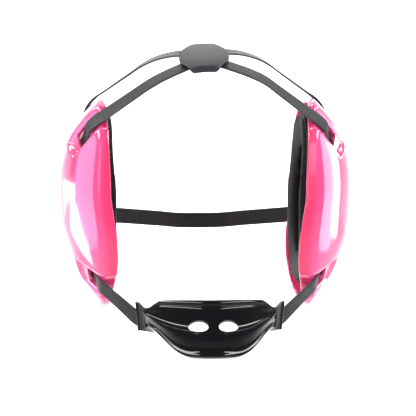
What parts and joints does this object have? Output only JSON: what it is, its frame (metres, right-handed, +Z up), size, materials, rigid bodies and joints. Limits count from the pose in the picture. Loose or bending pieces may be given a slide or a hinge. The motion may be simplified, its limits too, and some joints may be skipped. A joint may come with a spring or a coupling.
{
  "type": "wrestling ear guard",
  "caption": "Wrestling ear guard: domed ear shells with foam ear rings, webbing over the crown, round the nape and down to a moulded chin cup.",
  "frame": {"origin": "crown seat: the middle of the crown plate's underside, where the guard rests on the top of the head", "axes": "+Z up, -Y the way the face looks, +X to the wearer's left"},
  "size_m": [0.2179, 0.2157, 0.2198],
  "materials": {
    "shell": "hot pink glossy moulded plastic",
    "pad": "black cloth over foam, matt",
    "plate": "dark grey moulded rubber, satin",
    "webbing": "black woven nylon webbing",
    "cup": "black glossy soft vinyl"
  },
  "bodies": {
    "root": {"shell_left": "shell", "shell_right": "shell", "ear_pad_left": "pad", "ear_pad_right": "pad", "crown_plate": "plate", "front_strap_left": "webbing", "front_strap_right": "webbing", "rear_strap_left": "webbing", "rear_strap_right": "webbing", "chin_strap_left": "webbing", "chin_strap_right": "webbing", "nape_strap": "webbing", "chin_cup": "cup"}
  },
  "joints": []
}
